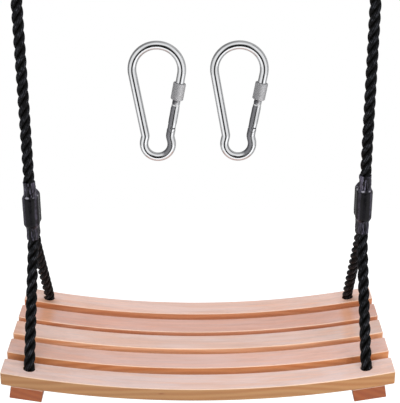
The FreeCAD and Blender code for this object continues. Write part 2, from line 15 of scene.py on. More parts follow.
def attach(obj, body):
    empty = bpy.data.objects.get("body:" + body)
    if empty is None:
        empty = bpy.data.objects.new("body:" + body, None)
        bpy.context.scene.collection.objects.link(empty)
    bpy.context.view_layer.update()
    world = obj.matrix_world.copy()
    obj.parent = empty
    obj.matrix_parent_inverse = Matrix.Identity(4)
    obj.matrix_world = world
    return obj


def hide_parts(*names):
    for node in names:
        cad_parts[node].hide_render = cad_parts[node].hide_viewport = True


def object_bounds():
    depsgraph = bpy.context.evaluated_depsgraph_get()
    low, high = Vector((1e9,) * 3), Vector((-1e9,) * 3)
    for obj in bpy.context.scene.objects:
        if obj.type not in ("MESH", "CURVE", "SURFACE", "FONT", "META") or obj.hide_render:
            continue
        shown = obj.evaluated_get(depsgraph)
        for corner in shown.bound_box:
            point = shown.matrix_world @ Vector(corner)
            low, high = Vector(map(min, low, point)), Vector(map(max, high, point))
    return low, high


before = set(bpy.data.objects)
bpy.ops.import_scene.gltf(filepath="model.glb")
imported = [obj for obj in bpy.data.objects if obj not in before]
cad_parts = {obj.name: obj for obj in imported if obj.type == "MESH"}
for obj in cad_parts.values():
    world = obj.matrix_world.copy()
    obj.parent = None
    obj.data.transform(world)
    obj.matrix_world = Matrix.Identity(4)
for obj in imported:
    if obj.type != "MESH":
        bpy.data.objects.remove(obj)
cad_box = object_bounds()

MM = 0.001
WELD = 1e-6  # metres between corners that are joined into one
CLOSE = 1e-5  # metres between heights or faces that count as the same
SIDES = {"left": -1, "right": 1}
HANDS = (-1, 1)
SLATS = ["slat_front", "slat_front_middle", "slat_middle", "slat_rear_middle", "slat_rear"]

# Seat
SEAT_RADIUS = 1090 * MM  # of the slats' hollow top faces
SEAT_DROP = 523 * MM  # from the eyes' axis down to the middle of the seat
SEAT_LENGTH = 440 * MM  # along the curve
SEAT_FRONT = -104 * MM
SLAT_WIDTH = 32 * MM
SLAT_PITCH = 44 * MM
SLAT_THICKNESS = 15.3 * MM
SLAT_SHIFTS = (0, 1.6 * MM, 0.9 * MM, -2.4 * MM, 0)  # from the even places, towards the rear


# Meshes
def new_object(name, data):
    item = bpy.data.objects.new(name, data)
    bpy.context.scene.collection.objects.link(item)
    return item


def new_mesh(name, verts, faces):
    mesh = bpy.data.meshes.new(name)
    mesh.from_pydata([tuple(v) for v in verts], [], faces)
    mesh.validate()
    mesh.update()
    return mesh


def closed(name, verts, faces):
    """An object of a closed mesh whose faces all look outwards."""
    mesh = new_mesh(name, verts, faces)
    fixed = bmesh.new()
    fixed.from_mesh(mesh)
    bmesh.ops.recalc_face_normals(fixed, faces=fixed.faces)
    fixed.to_mesh(mesh)
    fixed.free()
    return new_object(name, mesh)


def bands(rows, columns, closed_rows=False, first=0):
    """Faces of a grid whose rows are rings; the last row joins the first if closed_rows."""
    faces = []
    for i in range(rows if closed_rows else rows - 1):
        for k in range(columns):
            a, b = i * columns + k, i * columns + (k + 1) % columns
            up = ((i + 1) % rows - i) * columns
            faces.append((first + a, first + b, first + b + up, first + a + up))
    return faces


def end_faces(first, count, sides):
    """The two faces that close a round bar of count corners, the first of them numbered first."""
    last = first + count
    return [tuple(reversed(range(first, first + sides))), tuple(range(last - sides, last))]


def unit(rows):
    """The rows of a table of vectors, each made one long."""
    return rows / np.linalg.norm(rows, axis=1)[:, None]


def circled(turns, one, other):
    """The directions at these turns from one way towards the other, square to it."""
    return np.cos(turns)[..., None] * one + np.sin(turns)[..., None] * other


def sections(points):
    """Normals and binormals along a line, turned as little as they can be."""
    ahead = unit(np.gradient(points, axis=0))
    across = np.cross(ahead[0], [1.0, 0.0, 0.0])
    if np.linalg.norm(across) < 0.1:
        across = np.cross(ahead[0], [0.0, 1.0, 0.0])
    across /= np.linalg.norm(across)
    normals = [across]
    for direction in ahead[1:]:
        across = across - direction * across.dot(direction)
        across /= np.linalg.norm(across)
        normals.append(across)
    normals = np.array(normals)
    return normals, np.cross(ahead, normals)


def tube(name, points, radius, sides):
    """A closed round bar along a line of points."""
    points = np.asarray(points, float)
    normals, binormals = sections(points)
    turns = np.arange(sides) * 2 * math.pi / sides
    ring = circled(turns[None, :], normals[:, None], binormals[:, None])
    verts = (points[:, None] + radius * ring).reshape(-1, 3)
    return closed(name, verts, bands(len(points), sides) + end_faces(0, len(verts), sides))


def cut_away(item, cutter):
    """Takes the cutter's space out of the piece and removes the cutter."""
    cutting = item.modifiers.new("cut", "BOOLEAN")
    cutting.operation = "DIFFERENCE"
    cutting.solver = "EXACT"
    cutting.object = cutter
    found = item.evaluated_get(bpy.context.evaluated_depsgraph_get())
    mesh = bpy.data.meshes.new_from_object(found)
    item.modifiers.clear()
    item.data = mesh
    bpy.data.objects.remove(cutter)


def paint(item, material):
    item.data.materials.clear()
    item.data.materials.append(material)


def finish_piece(item, node, body, material):
    """Smooths a piece and makes it stand for its CAD node."""
    item.data.shade_smooth()
    paint(item, material)
    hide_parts(node)
    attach(item, body)


def keep_sharp(item, degrees):
    """Shades the edges that bend by more than this as sharp ones."""
    item.data.set_sharp_from_angle(angle=math.radians(degrees))


# Ropes
# The route's points are repeated from the CAD model, as Y and Z in mm, with points added on its
# long runs.
ROPE_EYE = [(6.4, -92), (6.4, -73), (6.4, -34), (22.6, 1.9), (10.17, 19)]
ROPE_EYE += [(-10.17, 19), (-22.6, 1.9), (-6.4, -34), (-6.4, -73)]
FORKS = {
    "left": [
        (6.4, -364),
        (6.4, -376),
        (8.62, -387.79),
        (12.99, -398.97),
        (19.85, -408.81),
        (72.79, -484.75),
    ],
    "right": [
        (6.4, -357.5),
        (6.4, -369.5),
        (8.54, -381.31),
        (12.74, -392.55),
        (19.35, -402.57),
        (73.34, -484.37),
    ],
}
ROPE_BEND = (88, -506.57)  # at the upper mouth of a rope hole
ROPE_RUN = [(88, -533.46), (61.5, -533.46)]  # in the groove under the batten
ROPE_X = 188.55 * MM  # of the rope above the seat
FOOT_X = 193.27 * MM  # of the rope under the batten
TAIL_Y = 6.4 * MM
ROPE_TAILS = {"left": -330.0 * MM, "right": -323.5 * MM}  # heights of the tails in the lower films
ROPE_LAY = 39.6 * MM  # length of one turn of a strand
ROPE_TURNS = {"left": 0.4, "right": 1.5}  # where round the rope a strand starts
STRANDS = 3
STRAND_RADIUS = 3.3 * MM
STRAND_OFFSET = 3.15 * MM  # of a strand's middle from the rope's
STRAND_STEP = 1.4 * MM
YARNS = 9  # that show round a strand
YARN_SHARES = (0.905, 0.98, 1.0, 0.98)  # of the strand's radius, over one yarn
YARN_LAY = -39.6 * MM  # less than nought, because yarns turn the other way
CURVE_STEPS = 24  # between two control points of a rope's line


def rope_control_points(side_name):
    """Control points of the rope's line, from its tail at the top eye to the one at the fork."""
    x, foot_x = SIDES[side_name] * ROPE_X, SIDES[side_name] * FOOT_X
    leg = FORKS[side_name] + [ROPE_BEND]
    points = [(x, y * MM, z * MM) for y, z in ROPE_EYE]
    points += [(x, -y * MM, z * MM) for y, z in leg]
    points += [(foot_x, -y * MM, z * MM) for y, z in ROPE_RUN]
    points += [(foot_x, y * MM, z * MM) for y, z in reversed(ROPE_RUN)]
    points += [(x, y * MM, z * MM) for y, z in reversed(leg)]
    points.append((x, TAIL_Y, ROPE_TAILS[side_name]))
    return points


def spline_line(name, control):
    """Points along the smooth curve that has these control points."""
    curve = bpy.data.curves.new(name, "CURVE")
    curve.dimensions = "3D"
    spline = curve.splines.new("NURBS")
    spline.points.add(len(control) - 1)
    for place, point in zip(control, spline.points):
        point.co = (*place, 1)
    spline.order_u = 3
    spline.use_endpoint_u = True
    spline.resolution_u = CURVE_STEPS
    item = new_object(name, curve)
    mesh = bpy.data.meshes.new_from_object(item)
    line = np.array([v.co for v in mesh.vertices])
    bpy.data.objects.remove(item)
    bpy.data.curves.remove(curve)
    return line


def even_steps(line, step):
    """The line again with its points an even distance apart, and their distances from its start."""
    pieces = np.linalg.norm(np.diff(line, axis=0), axis=1)
    lengths = np.concatenate([[0], np.cumsum(pieces)])
    wanted = np.linspace(0, lengths[-1], max(2, round(lengths[-1] / step) + 1))
    places = [np.interp(wanted, lengths, line[:, axis]) for axis in range(3)]
    return np.stack(places, axis=1), wanted


def rope_strands(line, start_turn):
    """Centre lines of a rope's strands, with the outward direction at each of their points."""
    points, along = even_steps(line, STRAND_STEP)
    normals, binormals = sections(points)
    strands = []
    for strand in range(STRANDS):
        turn = start_turn + 2 * math.pi * (along / ROPE_LAY + strand / STRANDS)
        outward = circled(turn, normals, binormals)
        strands.append((points + STRAND_OFFSET * outward, outward))
    return points, along, strands


def rope_mesh(name, line, start_turn):
    """Twisted strands, each of yarns that turn the other way."""
    points, along, strands = rope_strands(line, start_turn)
    sides = YARNS * len(YARN_SHARES)
    profile = STRAND_RADIUS * np.array(YARN_SHARES * YARNS)
    turns = 2 * math.pi * (np.arange(sides)[None, :] / sides + along[:, None] / YARN_LAY)
    verts, faces = [], []
    for middle, outward in strands:
        ahead = unit(np.gradient(middle, axis=0))
        out = unit(outward - ahead * np.sum(outward * ahead, axis=1)[:, None])
        ring = circled(turns, out[:, None], np.cross(ahead, out)[:, None])
        first, count = len(verts), len(middle) * sides
        verts.extend((middle[:, None] + profile[None, :, None] * ring).reshape(-1, 3))
        faces += bands(len(middle), sides, first=first) + end_faces(first, count, sides)
    mesh = new_mesh(name, verts, faces)
    rounds = np.tile(np.arange(sides) / len(YARN_SHARES), len(verts) // sides)
    lengths = np.tile(np.repeat(along, sides), STRANDS)
    centres = np.tile(np.repeat(points, sides, axis=0), (STRANDS, 1))
    # How far out each point lies, for the painted shade between the strands.
    crests = np.linalg.norm(np.array(verts) - centres, axis=1) / (STRAND_OFFSET + STRAND_RADIUS)
    fibres = mesh.attributes.new("fibre", "FLOAT_VECTOR", "POINT")
    fibres.data.foreach_set("vector", np.stack([rounds, lengths, crests], axis=1).ravel())
    return mesh


def make_rope(side_name, material):
    control = rope_control_points(side_name)
    line = spline_line(f"rope_line_{side_name}", control)
    mesh = rope_mesh(f"rope_{side_name}_laid", line, ROPE_TURNS[side_name])
    rope = new_object(f"rope_{side_name}_laid", mesh)
    finish_piece(rope, f"rope_{side_name}", "swing", material)
    length = float(np.linalg.norm(np.diff(line, axis=0), axis=1).sum())
    print(f"rope {side_name}: {length:.4f} m")
    return line


# Materials
PEACH = (255, 226, 202)  # of the painted highlight on the arrises
SHEEN_PALE = (1.01, 1.02, 1.03)  # shares of a slat's top colour, pale with painted sheen, in its pale and its warm parts
SHEEN_WARM = (0.98, 0.92, 0.87)
BARE_PALE = (1.05, 1.08, 1.1)  # the same for its sides, which have no painted sheen
BARE_DEEP = (0.93, 0.86, 0.79)
SEED_SHIFT = (1.37, 0.61, 0.43)  # metres between the grain of one slat and the next
RING_TURN = 800.0  # radians of the wood's rings per metre
RING_LEAN = 0.35
RING_WANDER = 44.0
WANDER = (4, 9)  # this and the next four: patterns per metre along the wood and across it
FIBRES = (18, 1300)
STREAKS = (6, 240)
PATCHES = (9, 90)
RAYS = (170, 1500)
METAL_MOTTLE = 0.88  # share of a metal's shade in its darker spots
SHADE_ROUGHENING = 0.25  # how much rougher metal is where it takes painted shade
SHADE_SIDE = 4 * MM  # over which the part with painted shade starts at its left
SHADE_TOP = 6 * MM  # and over which it ends below its top


def colour(red, green, blue):
    """A colour written as it shows on a screen, 0 to 255, as the shader's own values."""
    linear = []
    for part in (red / 255, green / 255, blue / 255):
        linear.append(part / 12.92 if part <= 0.04045 else ((part + 0.055) / 1.055) ** 2.4)
    return (*linear, 1.0)


def toned(shade, factors):
    return colour(*(part * factor for part, factor in zip(shade, factors)))


class Graph:
    """A short way to write the nodes of a material or of the world."""

    def __init__(self, owner):
        owner.use_nodes = True
        self.owner = owner
        self.tree = owner.node_tree

    def node(self, kind, inputs=(), **settings):
        made = self.tree.nodes.new("ShaderNode" + kind)
        for key, setting in settings.items():
            setattr(made, key, setting)
        for key, source in dict(inputs).items():
            self.feed(made.inputs[key], source)
        return made

    def feed(self, socket, source):
        if isinstance(source, bpy.types.NodeSocket):
            self.tree.links.new(source, socket)
        else:
            socket.default_value = source

    def split(self, vector):
        return self.node("SeparateXYZ", {0: vector}).outputs

    def place(self):
        """The point in the piece's own frame, in metres."""
        return self.node("TexCoord").outputs["Object"]

    def facing(self):
        """The parts of the direction that the surface faces, in the piece's own frame."""
        return self.split(self.node("TexCoord").outputs["Normal"])

    def attribute(self, name):
        return self.split(self.node("Attribute", attribute_name=name).outputs["Vector"])

    def stretched(self, vector, scale, shift=(0, 0, 0)):
        inputs = {"Vector": vector, "Scale": scale, "Location": shift}
        return self.node("Mapping", inputs).outputs[0]

    def finer(self, vector, scale):
        return self.stretched(vector, (scale, scale, scale))

    def noise(self, vector, detail, rough=0.5):
        inputs = {"Vector": vector, "Scale": 1.0, "Detail": detail, "Roughness": rough}
        return self.node("TexNoise", inputs).outputs["Fac"]

    def calc(self, operation, *values):
        return self.node("Math", dict(enumerate(values)), operation=operation).outputs[0]

    def add(self, one, other):
        return self.calc("ADD", one, other)

    def less(self, one, other):
        return self.calc("SUBTRACT", one, other)

    def times(self, one, other):
        return self.calc("MULTIPLY", one, other)

    def absolute(self, value):
        return self.calc("ABSOLUTE", value)

    def vector(self, operation, *values):
        return self.node("VectorMath", dict(enumerate(values)), operation=operation).outputs

    def span(self, fac, low, high, to_low=0.0, to_high=1.0):
        """The value at fac of a slope from to_low at low to to_high at high, flat beyond."""
        inputs = {"Value": fac, "From Min": low, "From Max": high}
        inputs.update({"To Min": to_low, "To Max": to_high})
        return self.node("MapRange", inputs, clamp=True).outputs[0]

    def mix(self, fac, one, other):
        made = self.node("Mix", data_type="RGBA")
        for socket, source in ((0, fac), (6, one), (7, other)):
            self.feed(made.inputs[socket], source)
        return made.outputs[2]

    def bump(self, height, strength, distance):
        inputs = {"Height": height, "Strength": strength, "Distance": distance}
        return self.node("Bump", inputs).outputs[0]

    def seen_plainly(self):
        """One where the camera looks straight or through glass, and nought elsewhere."""
        path = self.node("LightPath").outputs
        return self.calc("MAXIMUM", path["Is Camera Ray"], path["Is Transmission Ray"])

    def finish(self, **inputs):
        """Feeds the material's shader and returns the material."""
        shader = self.tree.nodes["Principled BSDF"]
        for key, source in inputs.items():
            self.feed(shader.inputs[key.replace("_", " ")], source)
        return self.owner


def new_graph(name):
    return Graph(bpy.data.materials.new(name))


def wood(name, top, side, seed, along=0, marks_and_shade=(), light_lean=0.0):
    """Planed and oiled wood: a top made pale by painted sheen, deeper sides, painted highlights on
    the arrises, painted light that lightens it to the right, soft figure, fibres, short rays.
    """
    g = new_graph(name)
    place = g.stretched(g.place(), (1, 1, 1), tuple(seed * part for part in SEED_SHIFT))

    def grain(pattern):
        """The place, scaled less along the fibres than across them."""
        long, fine = pattern
        scale = [fine, fine, fine]
        scale[along] = long
        return g.stretched(place, scale)

    parts = g.split(place)
    depth = g.add(g.times(parts[1 - along], RING_LEAN), parts["Z"])
    wander = g.times(g.noise(grain(WANDER), 2.0), RING_WANDER)
    rings = g.calc("SINE", g.add(g.times(depth, RING_TURN), wander))
    fibres = g.noise(grain(FIBRES), 3.0, 0.6)
    streaks = g.noise(grain(STREAKS), 3.0)
    patches = g.noise(grain(PATCHES), 3.0, 0.65)
    rays = g.span(g.noise(grain(RAYS), 1.0), 0.66, 0.74)

    up = g.facing()["Z"]
    warm = g.add(g.span(patches, 0.4, 0.62, 0, 0.6), g.span(streaks, 0.4, 0.65, 0, 0.4))
    top_sheen = g.mix(warm, toned(top, SHEEN_PALE), toned(top, SHEEN_WARM))
    figure = g.add(g.span(rings, -1, 1, 0, 0.6), g.span(streaks, 0.35, 0.65, 0, 0.4))
    bare = g.mix(figure, toned(side, BARE_PALE), toned(side, BARE_DEEP))
    # Faces that look up take the top colour, made pale by painted sheen over the wood's own colour.
    base = g.mix(g.span(up, 0.62, 0.95), bare, top_sheen)
    # Painted highlight along the arrises between the top and the sides.
    arris_highlight = g.times(g.span(up, 0.25, 0.5), g.span(up, 0.88, 0.98, 0.65, 0))
    base = g.mix(arris_highlight, base, colour(*PEACH))
    # The knot is the wood's own mark; the others are painted shade near the ropes.
    for spot, size, strength, mark_and_shade_colour in marks_and_shade:
        away = g.vector("SUBTRACT", g.place(), spot)[0]
        away = g.vector("LENGTH", g.vector("DIVIDE", away, size)[0])["Value"]
        base = g.mix(g.span(away, 0.3, 1.0, strength, 0), base, colour(*mark_and_shade_colour))

    tone = g.add(g.span(streaks, 0.3, 0.7, -0.09, 0.09), g.span(fibres, 0.3, 0.7, -0.06, 0.06))
    tone = g.add(tone, g.span(rays, 0, 1, 0, -0.08))
    # Painted light: the wood grows lighter towards the right.
    tone = g.add(tone, g.times(g.split(g.place())["X"], light_lean))
    scaled = g.node("VectorMath", {0: base, "Scale": g.add(tone, 1.0)}, operation="SCALE")
    relief = g.less(fibres, g.times(rays, 0.5))
    return g.finish(
        Base_Color=scaled.outputs[0],
        Roughness=g.span(fibres, 0.3, 0.7, 0.42, 0.56),
        Normal=g.bump(relief, 0.25, 0.2 * MM),
        Specular_IOR_Level=0.3,
        Coat_Weight=0.5,
        Coat_Roughness=0.2,
    )


def rope_fibre():
    """Black yarns with painted highlights on the filaments of their crests, painted shade between
    the strands, a little dusty.
    """
    g = new_graph("rope_black_fibre")
    round_it, along, crest = g.attribute("fibre")
    turned = g.node("CombineXYZ", {0: g.times(round_it, 9.0), 1: g.times(along, 160.0)})
    filaments = g.noise(turned.outputs[0], 3.0, 0.7)
    dust = g.noise(g.finer(g.place(), 90), 3.0)
    blotches = g.noise(g.finer(g.place(), 260), 2.0)
    # Painted highlights on the filaments, kept to the crests of the yarns.
    painted_highlight = g.times(g.span(filaments, 0.4, 0.62), g.span(blotches, 0.44, 0.6, 0.12, 1))
    from_crest = g.absolute(g.less(g.calc("FRACT", round_it), 0.5))
    painted_highlight = g.times(painted_highlight, g.span(from_crest, 0.2, 0.45, 1, 0))
    shade = g.mix(painted_highlight, colour(3, 3, 4), colour(84, 86, 94))
    # Painted shade: near black between the strands.
    shade = g.mix(g.span(crest, 0.85, 1.0), colour(1, 1, 1), shade)
    return g.finish(
        Base_Color=g.mix(g.span(dust, 0.55, 0.8, 0, 0.2), shade, colour(28, 29, 32)),
        Roughness=g.span(filaments, 0.3, 0.7, 0.6, 0.4),
        Normal=g.bump(filaments, 0.6, 0.25 * MM),
        Specular_IOR_Level=0.12,
    )


def film_plastic():
    """Dark film with painted highlights along its creases beside the ferrule, along the ferrule's
    two sides and over the ferrule's end.
    """
    g = new_graph("film_shrunk_plastic")
    drawn = g.noise(g.stretched(g.place(), (700, 700, 60)), 2.0)
    mottle = g.noise(g.finer(g.place(), 160), 3.0)
    off_ferrule, rim_highlight, height = g.attribute("drape")
    sidewards = g.absolute(g.facing()["X"])
    # Painted highlights along the ferrule's two sides, where the film faces sideways.
    side_highlight = g.times(g.span(sidewards, 0.5, 0.68), g.span(sidewards, 0.74, 0.9, 1, 0))
    side_highlight = g.times(side_highlight, g.span(mottle, 0.35, 0.6, 0.1, 0.4))
    # Painted highlights along the creases beside the ferrule.
    streaks = g.times(g.span(drawn, 0.53, 0.63), g.span(off_ferrule, 0.1, 1))
    streaks = g.times(streaks, g.span(height, 0.2, 0.75, 0.5, 1))
    shade = g.mix(g.span(mottle, 0.3, 0.7), colour(8, 7, 10), colour(18, 16, 22))
    shade = g.mix(g.calc("MAXIMUM", side_highlight, streaks), shade, colour(114, 110, 128))
    return g.finish(
        # Painted highlight band and spots over the ferrule's end.
        Base_Color=g.mix(g.span(rim_highlight, 0.15, 0.7), shade, colour(148, 146, 156)),
        Roughness=g.span(mottle, 0.3, 0.7, 0.2, 0.36),
        Normal=g.bump(drawn, 0.7, 0.4 * MM),
        Specular_IOR_Level=0.18,
    )


def metal(name, shade, rough, grain, depth, painted_shade_part=None):
    """Bright metal of uneven polish; its last argument gives the left, top and colour of a part
    whose faces that look left take painted shade and are rougher.
    """
    g = new_graph(name)
    fine = g.noise(g.finer(g.place(), grain), 3.0)
    broad = g.noise(g.finer(g.place(), 90), 2.0)
    darker = (*(part * METAL_MOTTLE for part in shade[:3]), 1.0)
    base = g.mix(g.span(broad, 0.3, 0.7), darker, shade)
    roughness = g.span(fine, 0.3, 0.7, rough * 0.8, rough * 1.25)
    if painted_shade_part:
        left, top, shade_colour = painted_shade_part
        # Painted shade, with more roughness, on the faces that look left in this part.
        parts = g.split(g.place())
        shade_mask = g.times(
            g.span(g.facing()["X"], -0.25, 0.12, 1, 0),
            g.span(parts["X"], left, left + SHADE_SIDE),
        )
        shade_mask = g.times(shade_mask, g.span(parts["Z"], top - SHADE_TOP, top, 1, 0))
        base = g.mix(shade_mask, base, colour(*shade_colour))
        roughness = g.add(roughness, g.times(shade_mask, SHADE_ROUGHENING))
    bumps = g.bump(fine, 0.15, depth)
    return g.finish(Base_Color=base, Metallic=1.0, Roughness=roughness, Normal=bumps)


# Slats
ARRIS = 1.4 * MM
HOLE_RADIUS = 6.6 * MM
HOLE_RIM = 0.5 * MM
HOLE_SIDES = 48
SLAT_STEP = 8 * MM  # between the cuts that let a slat bend
BORE_BELOW = 12 * MM  # how far the rope's line is followed beyond the slat, below and above
BORE_ABOVE = 10 * MM
SHARP_EDGE = 0.6  # radians between the faces at an edge that is rounded


def bend(u, y, depth):
    """The place of a point of the flat seat, u along its length, on the curved one."""
    turn, radius = u / SEAT_RADIUS, SEAT_RADIUS + depth
    rise = SEAT_RADIUS - SEAT_DROP - radius * math.cos(turn)
    return Vector((radius * math.sin(turn), y, rise))


def unbend(place):
    """The place of a point of the curved seat on the flat one, with its height above the top."""
    x, y, z = place
    up = SEAT_RADIUS - SEAT_DROP - z
    return (SEAT_RADIUS * math.atan2(x, up), y, SEAT_RADIUS - math.hypot(x, up))


def slat_middle(index):
    return (index - (len(SLATS) - 1) / 2) * SLAT_PITCH + SLAT_SHIFTS[index]


def half_lengths():
    """Half of a flat slat's length at its top and at its bottom, so that its ends stand upright."""
    half = SEAT_LENGTH / 2
    upright = SEAT_RADIUS * math.sin(half / SEAT_RADIUS) / (SEAT_RADIUS + SLAT_THICKNESS)
    return half, SEAT_RADIUS * math.asin(upright)


def flat_slat(name, near, far):
    """A flat block from near to far in Y, with its top at nought."""
    half, half_below = half_lengths()
    flat = bmesh.new()
    bmesh.ops.create_cube(flat, size=1)
    for vert in flat.verts:
        vert.co.x *= 2 * (half if vert.co.z > 0 else half_below)
        vert.co.y = near if vert.co.y < 0 else far
        vert.co.z = 0 if vert.co.z > 0 else -SLAT_THICKNESS
    mesh = bpy.data.meshes.new(name)
    flat.to_mesh(mesh)
    flat.free()
    return new_object(name, mesh)


def bore_slat(slat, near, far, lines):
    """Bores the flat slat where a rope's line passes through it."""
    for line in lines:
        flat_line = np.array([unbend(place) for place in line])
        height = flat_line[:, 2]
        inside = (height > -SLAT_THICKNESS - BORE_BELOW) & (height < BORE_ABOVE)
        for hand in HANDS:
            passing = flat_line[inside & (np.sign(flat_line[:, 1]) == hand)]
            if near < passing[:, 1].mean() < far:
                cut_away(slat, tube("bore", passing, HOLE_RADIUS, HOLE_SIDES))


def round_slat(flat, near, far):
    """Rounds the block's edges and, less, the rims of its bores."""
    half_below = half_lengths()[1]

    def outside(vert):
        x, y, _ = vert.co
        return abs(x) > half_below - CLOSE or y < near + CLOSE or y > far - CLOSE

    def level(edge):
        one, other = edge.verts
        return abs(one.co.z - other.co.z) < CLOSE

    box_edges, rims = [], []
    for edge in flat.edges:
        if edge.calc_face_angle(0) < SHARP_EDGE:
            continue
        if all(outside(vert) for vert in edge.verts):
            box_edges.append(edge)
        elif not any(outside(vert) for vert in edge.verts) and level(edge):
            rims.append(edge)
    rounding = {"profile": 0.5, "affect": "EDGES"}
    bmesh.ops.bevel(flat, geom=box_edges, offset=ARRIS, segments=4, **rounding)
    rims = [edge for edge in rims if edge.is_valid]
    if rims:
        bmesh.ops.bevel(flat, geom=rims, offset=HOLE_RIM, segments=2, **rounding)


def make_slat(name, y, lines):
    """A slat made flat, bored along the ropes' lines, rounded at its edges and then bent."""
    near, far = y - SLAT_WIDTH / 2, y + SLAT_WIDTH / 2
    half, _ = half_lengths()
    slat = flat_slat(name, near, far)
    bore_slat(slat, near, far, lines)
    flat = bmesh.new()
    flat.from_mesh(slat.data)
    bmesh.ops.remove_doubles(flat, verts=flat.verts, dist=WELD)
    round_slat(flat, near, far)
    count = round(2 * half / SLAT_STEP)
    for i in range(1, count):
        everything = flat.verts[:] + flat.edges[:] + flat.faces[:]
        plane = {"plane_co": (-half + 2 * half * i / count, 0, 0), "plane_no": (1, 0, 0)}
        bmesh.ops.bisect_plane(flat, geom=everything, dist=WELD, **plane)
    for vert in flat.verts:
        u, across, rise = vert.co
        vert.co = bend(u, across, -rise)
    flat.to_mesh(slat.data)
    flat.free()
    return slat


def make_slats(lines, materials):
    """All the slats, the front and the rear one bored for the ropes."""
    for index, name in enumerate(SLATS):
        bored = lines if index in (0, len(SLATS) - 1) else []
        slat = make_slat(name + "_sanded", slat_middle(index), bored)
        finish_piece(slat, name, "swing", materials[index])
        keep_sharp(slat, 50)
        weighted = slat.modifiers.new("even_shading", "WEIGHTED_NORMAL")
        weighted.keep_sharp = True


# Battens
BATTEN_X = 189.5 * MM  # along the seat's curve
SCREW_ROWS = 7 * MM  # of a slat's two screws from its middle, to the front and to the rear
SCREW_SPREAD = 11.8 * MM  # of the same two, to the batten's two sides
HEAD_RADIUS = 3.6 * MM
HEAD_SIDES = 32
HEAD_DEPTH = 30.65 * MM  # of a screw's head below the slats' top faces
HEAD_SINK = 0.22 * MM  # how far up round the head the opening goes


def clean_copy(name, model):
    """A copy of a CAD node as one joined mesh."""
    clean = bmesh.new()
    clean.from_mesh(model.data)
    clean.transform(model.matrix_world)
    bmesh.ops.remove_doubles(clean, verts=clean.verts, dist=WELD)
    bmesh.ops.recalc_face_normals(clean, faces=clean.faces)
    mesh = bpy.data.meshes.new(name)
    clean.to_mesh(mesh)
    clean.free()
    return new_object(name, mesh)


def make_battens(material):
    """The battens as they are in the frame, with the thin skin below the screws' heads opened."""
    for side_name, side in SIDES.items():
        node_name = f"batten_{side_name}"
        batten = clean_copy(node_name + "_opened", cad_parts[node_name])
        turn = side * BATTEN_X / SEAT_RADIUS
        across = Vector((math.cos(turn), 0, math.sin(turn)))
        down = Vector((math.sin(turn), 0, -math.cos(turn)))
        for index in range(len(SLATS)):
            for hand in HANDS:
                y = slat_middle(index) + hand * SCREW_ROWS
                head = bend(side * BATTEN_X, y, HEAD_DEPTH) + across * hand * SCREW_SPREAD
                opening = [head - down * HEAD_SINK, head + down * MM]
                cut_away(batten, tube("head_hole", opening, HEAD_RADIUS, HEAD_SIDES))
        finish_piece(batten, node_name, "swing", material)
        keep_sharp(batten, 35)


# Films
FILM_LENGTH = 70 * MM
FILM_THICKNESS = 0.6 * MM
FILM_CORE = 6 * MM  # radius round a rope that the film closes onto at least
FILM_FEET = {"left": -382 * MM, "right": -375.5 * MM}  # heights of the lower films' lower ends
FILM_EYE = -34 * MM  # height of the upper films' upper ends
FERRULE_LENGTH = 34 * MM
FERRULE_RADIUS = 8.7 * MM
FERRULE_RIM = 1.2 * MM  # half the height of the film's painted highlight band over the ferrule's end
PAIR_SPACING = 12.8 * MM  # between the two ropes in a ferrule
FERRULE_START = 17 * MM  # from the film's end at which the two ropes part
FILM_SETTLE = 54 * MM  # from that end to where the film starts to close onto the one rope
FILM_SHIFT = -4.9 * MM  # of the film's middle at its far end
FILM_SIDES = 96
FILM_STEP = 0.8 * MM
FILM_SLOPE = 0.85  # as steep as the film comes down beside a ferrule or a strand
FILM_BLURS = 2
FILM_CREASE = 0.9 * MM
FILM_CALM = 0.12  # share of the creases' depth that is left over the ferrule
FILM_FADE = 3 * MM  # from the ferrule to where the creases have their whole depth
FILM_RAG = 0.5 * MM  # how uneven the film's ends are
FILM_END = 4 * MM  # length of the ends that are uneven
CREASES = 6  # bumps of chance round a film, for its creases, its ends and its painted highlight spots
CREASE_RISE = 26  # the same for its creases, per metre of its height
RAGS = 2
SPOTS = 3
RIM_SPOTS = 2.5  # how strongly the painted highlight band over the ferrule's end breaks into spots
LEAST_FACING = 0.05  # cosine below which a support line says nothing about a direction


def film_row(discs, middle):
    """How far a film drawn round discs reaches from its middle, for directions all round it."""
    discs = np.array(discs)
    turns = np.arange(FILM_SIDES) * 2 * math.pi / FILM_SIDES
    rays = np.stack([np.cos(turns), np.sin(turns)], axis=1)
    offsets = discs[:, :2] - middle
    support = (rays @ offsets.T + discs[:, 2]).max(1)
    facing = rays @ rays.T
    reaches = support[None, :] / np.maximum(facing, LEAST_FACING)
    hull = np.where(facing > LEAST_FACING, reaches, np.inf).min(1)
    along = rays @ offsets.T
    aside = np.abs(rays[:, :1] * offsets[:, 1] - rays[:, 1:] * offsets[:, 0])
    inside = np.maximum(discs[:, 2] ** 2 - aside**2, 0)
    onto = np.where(aside < discs[:, 2], along + np.sqrt(inside), 0).max(1)
    return (hull + onto) / 2


def bridged(rows, step, slope):
    """The rows raised so that they never fall faster than the slope from one to the next."""
    rows = rows.copy()
    for i in range(1, len(rows)):
        rows[i] = np.maximum(rows[i], rows[i - 1] - slope * step)
    for i in range(len(rows) - 2, -1, -1):
        rows[i] = np.maximum(rows[i], rows[i + 1] - slope * step)
    return rows


def soften(rows, times):
    """The grid of numbers blurred round its rows and along its columns."""
    for _ in range(times):
        rows = (np.roll(rows, 1, 1) + 2 * rows + np.roll(rows, -1, 1)) / 4
        inner = (rows[:-2] + 2 * rows[1:-1] + rows[2:]) / 4
        rows = np.concatenate([rows[:1], inner, rows[-1:]])
    return rows


